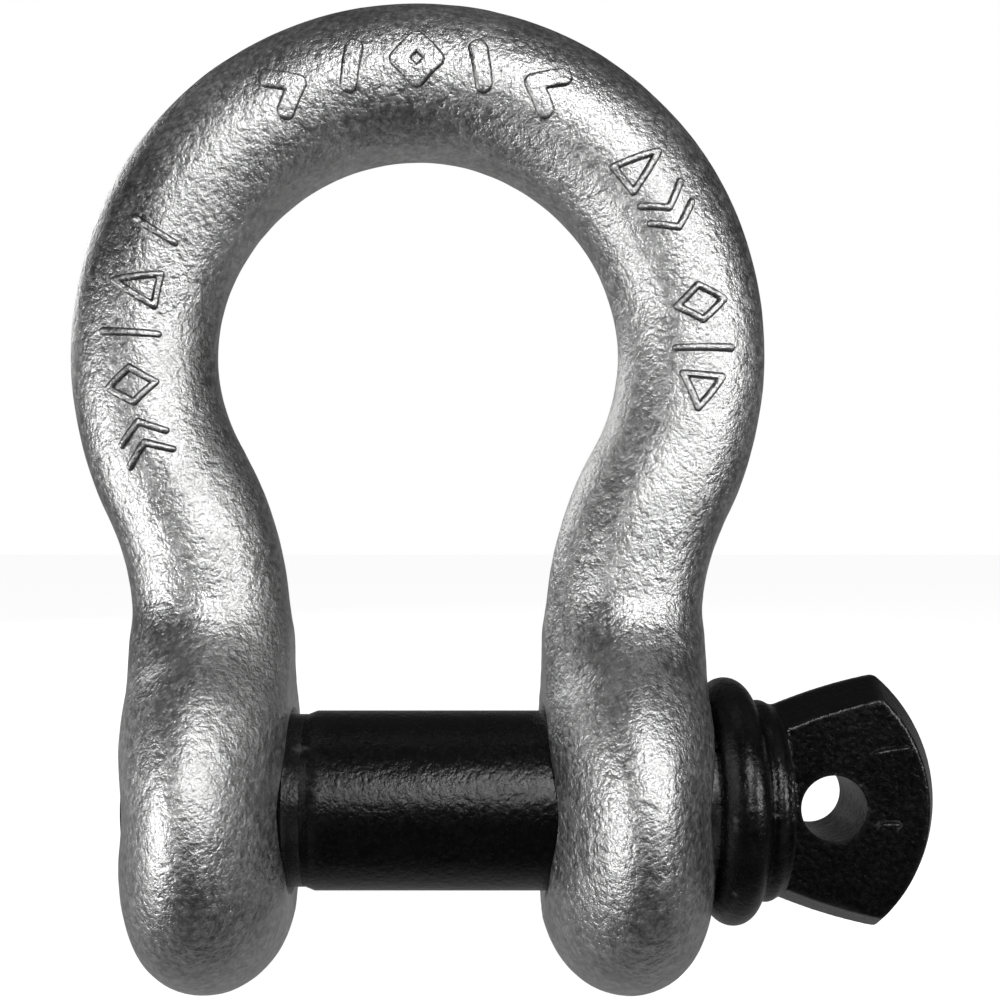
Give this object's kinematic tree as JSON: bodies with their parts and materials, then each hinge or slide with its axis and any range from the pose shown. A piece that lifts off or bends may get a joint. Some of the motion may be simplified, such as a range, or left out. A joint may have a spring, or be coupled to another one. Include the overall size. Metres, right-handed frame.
{
  "type": "bow shackle",
  "caption": "Forged bow shackle: a round bow with two flat ears, closed by a screw pin with a collar and a flat eye to turn it by.",
  "frame": {"origin": "on the screw pin's axis, midway between the two ears", "axes": "+X along the pin towards its head, +Y through the bow, +Z from the pin to the crown of the bow"},
  "size_m": [0.1089, 0.0472, 0.1239],
  "materials": {
    "galvanised_steel": "hot-dip galvanised forging, matt and finely grained",
    "black_coated_steel": "black coated forging, semi-gloss with a fine orange peel"
  },
  "bodies": {
    "bow": {"bow": "galvanised_steel"},
    "pin_slider": {"pin_shank": "black_coated_steel"},
    "screw_pin": {"pin_thread": "black_coated_steel", "pin_head": "black_coated_steel"}
  },
  "joints": [
    {"name": "pin_travel", "type": "slide", "parent": "bow", "child": "pin_slider", "axis": [1, 0, 0], "range_m": [0, 0.079]},
    {"name": "pin_turn", "type": "hinge", "parent": "pin_slider", "child": "screw_pin", "pos_m": [0, 0, 0], "axis": [1, 0, 0], "range_deg": [0, 10080]}
  ],
  "couplings": [
    {"joint": "pin_turn", "follows": "pin_travel", "rad_per_m": 2226.3}
  ]
}
